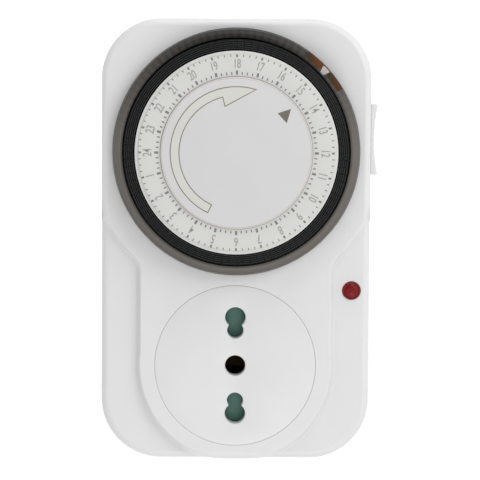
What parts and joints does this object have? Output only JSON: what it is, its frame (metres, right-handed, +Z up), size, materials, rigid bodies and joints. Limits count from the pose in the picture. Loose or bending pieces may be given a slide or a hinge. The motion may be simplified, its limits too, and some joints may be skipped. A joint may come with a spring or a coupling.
{
  "type": "programmable timer",
  "caption": "Plug-in mains timer: a turning dial ring with press-in trippers above a round shuttered socket, with side override slider, indicator lamp and rear plug pins.",
  "frame": {"origin": "on the face of the rear plug pad, on the axis of the earth pin", "axes": "+Z up along the housing's height, +X to the right seen from the front, -Y towards the viewer, +Y into the wall socket"},
  "size_m": [0.0741, 0.0653, 0.1184],
  "materials": {
    "housing": "fine satin moulded thermoplastic",
    "dial_white": "satin moulded thermoplastic with printed marks",
    "tripper_black": "smooth moulded",
    "smoked_clear": "clear smoked, polished",
    "marker_orange": "coloured insert",
    "shutter_green": "smooth moulded",
    "lens_red": "clear, polished",
    "carrier_dark": "moulded thermoset",
    "gear_natural": "natural acetal",
    "brass": "stamped strip",
    "pin_nickel": "nickel plated",
    "steel": "zinc plated",
    "neon_glass": "clear",
    "resistor_body": "lacquered",
    "wire_insulation": "smooth"
  },
  "bodies": {
    "housing": {"front_cover": "housing", "rear_cover": "housing", "socket_faceplate": "housing", "case_screw_1": "steel", "case_screw_2": "steel", "case_screw_3": "steel", "case_screw_4": "steel", "line_pin": "pin_nickel", "earth_pin": "pin_nickel", "neutral_pin": "pin_nickel", "line_pin_sleeve": "carrier_dark", "neutral_pin_sleeve": "carrier_dark", "contact_carrier": "carrier_dark", "line_contact": "brass", "earth_contact": "brass", "neutral_contact": "brass", "shutter_spring": "steel", "bezel_ring": "smoked_clear", "time_pointer": "dial_white", "pointer_backing": "marker_orange", "centre_disc": "dial_white", "dial_spindle": "steel", "movement_plate": "carrier_dark", "movement_screw_1": "steel", "movement_screw_2": "steel", "movement_screw_3": "steel", "movement_screw_4": "steel", "motor_can": "steel", "gear_1_arbor": "steel", "gear_2_arbor": "steel", "lever_pivot": "steel", "fixed_contact": "brass", "indicator_lens": "lens_red", "neon_lamp": "neon_glass", "lamp_resistor": "resistor_body", "line_feed_wire": "wire_insulation", "switched_line_wire": "wire_insulation"},
    "dial": {"dial_wheel": "gear_natural", "number_ring": "dial_white", "tripper_ring": "tripper_black"},
    "tripper_1": {"tripper_1": "tripper_black"},
    "tripper_2": {"tripper_2": "tripper_black"},
    "tripper_3": {"tripper_3": "tripper_black"},
    "tripper_4": {"tripper_4": "tripper_black"},
    "tripper_5": {"tripper_5": "tripper_black"},
    "tripper_6": {"tripper_6": "tripper_black"},
    "tripper_7": {"tripper_7": "tripper_black"},
    "tripper_8": {"tripper_8": "tripper_black"},
    "gear_2": {"gear_2": "gear_natural"},
    "gear_1": {"gear_1": "gear_natural"},
    "motor_rotor": {"motor_pinion": "gear_natural"},
    "shutter": {"safety_shutter": "shutter_green"},
    "override_slider": {"side_switch": "housing", "override_link": "gear_natural"},
    "follower": {"follower_lever": "gear_natural"},
    "moving_blade": {"moving_contact": "brass"}
  },
  "joints": [
    {"name": "dial_turn", "type": "hinge", "parent": "housing", "child": "dial", "pos_m": [0, -0.04, 0.0575], "axis": [0, 1, 0], "continuous": true},
    {"name": "tripper_1_press", "type": "slide", "parent": "dial", "child": "tripper_1", "axis": [0, 1, 0], "range_m": [0, 0.0025]},
    {"name": "tripper_2_press", "type": "slide", "parent": "dial", "child": "tripper_2", "axis": [0, 1, 0], "range_m": [0, 0.0025]},
    {"name": "tripper_3_press", "type": "slide", "parent": "dial", "child": "tripper_3", "axis": [0, 1, 0], "range_m": [0, 0.0025]},
    {"name": "tripper_4_press", "type": "slide", "parent": "dial", "child": "tripper_4", "axis": [0, 1, 0], "range_m": [0, 0.0025]},
    {"name": "tripper_5_press", "type": "slide", "parent": "dial", "child": "tripper_5", "axis": [0, 1, 0], "range_m": [0, 0.0025]},
    {"name": "tripper_6_press", "type": "slide", "parent": "dial", "child": "tripper_6", "axis": [0, 1, 0], "range_m": [0, 0.0025]},
    {"name": "tripper_7_press", "type": "slide", "parent": "dial", "child": "tripper_7", "axis": [0, 1, 0], "range_m": [0, 0.0025]},
    {"name": "tripper_8_press", "type": "slide", "parent": "dial", "child": "tripper_8", "axis": [0, 1, 0], "range_m": [0, 0.0025]},
    {"name": "gear_2_turn", "type": "hinge", "parent": "housing", "child": "gear_2", "pos_m": [-0.01606, -0.026, 0.03456], "axis": [0, 1, 0], "continuous": true},
    {"name": "gear_1_turn", "type": "hinge", "parent": "housing", "child": "gear_1", "pos_m": [-0.00546, -0.026, 0.02893], "axis": [0, 1, 0], "continuous": true},
    {"name": "motor_turn", "type": "hinge", "parent": "housing", "child": "motor_rotor", "pos_m": [-0.00046, -0.023, 0.03759], "axis": [0, 1, 0], "continuous": true},
    {"name": "shutter_slide", "type": "slide", "parent": "housing", "child": "shutter", "axis": [-1, 0, 0], "range_m": [0, 0.0065], "stiffness_N_per_m": 60, "springref_m": -0.004, "deforming": ["shutter_spring"]},
    {"name": "override_slide", "type": "slide", "parent": "housing", "child": "override_slider", "axis": [0, 0, -1], "range_m": [0, 0.003]},
    {"name": "follower_tilt", "type": "hinge", "parent": "housing", "child": "follower", "pos_m": [0.0189, -0.0254, 0.028], "axis": [-1, 0, 0], "range_deg": [0, 6.01]},
    {"name": "blade_flex", "type": "hinge", "parent": "housing", "child": "moving_blade", "pos_m": [0.0276, -0.02785, 0.025], "axis": [0, 0, 1], "range_deg": [0, 4.51]}
  ],
  "couplings": [
    {"joint": "gear_2_turn", "follows": "dial_turn", "ratio": -6},
    {"joint": "gear_1_turn", "follows": "dial_turn", "ratio": 18},
    {"joint": "motor_turn", "follows": "dial_turn", "ratio": -54},
    {"joint": "follower_tilt", "follows": "override_slide", "rad_per_m": 34.9},
    {"joint": "blade_flex", "follows": "override_slide", "rad_per_m": 26.18}
  ]
}
